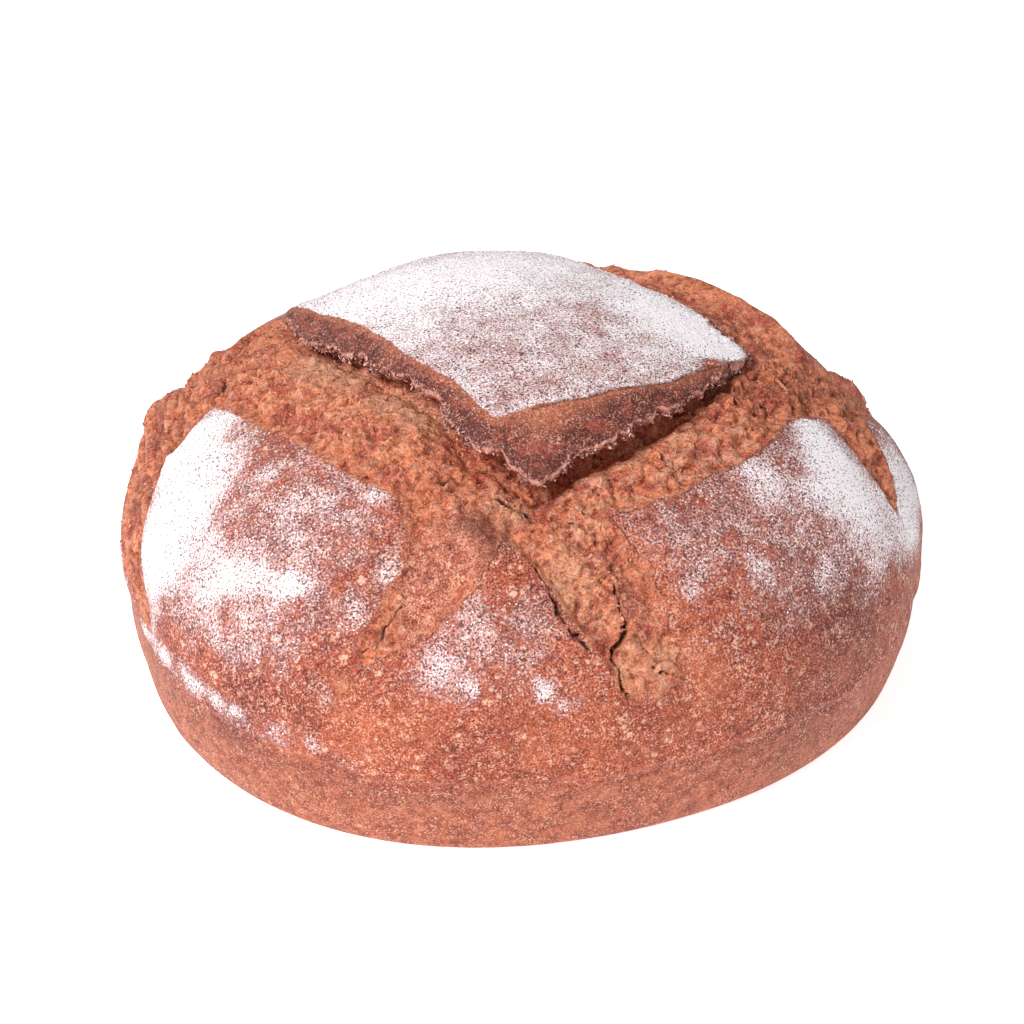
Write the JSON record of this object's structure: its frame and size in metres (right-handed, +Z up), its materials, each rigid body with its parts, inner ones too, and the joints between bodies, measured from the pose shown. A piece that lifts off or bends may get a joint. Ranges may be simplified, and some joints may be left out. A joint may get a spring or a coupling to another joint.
{
  "type": "spelt sourdough loaf",
  "caption": "Round scored sourdough loaf: a floured dome crossed by torn cuts, with a square middle plate lifted into a ragged front lip, a seam round the side and a flat base.",
  "frame": {"origin": "middle of the loaf's box, at the level of its flat base", "axes": "+Z up through the crown, the loaf's least height; +X to the right along its longest side as it is seen from the front, where the lifted lip is; +Y to the back"},
  "size_m": [0.2434, 0.2212, 0.1135],
  "materials": {
    "baked_crust": "rough matt baked crust, red-brown, dusted with white flour on the plates and golden brown in the torn cuts"
  },
  "bodies": {
    "root": {"loaf": "baked_crust"}
  },
  "joints": []
}
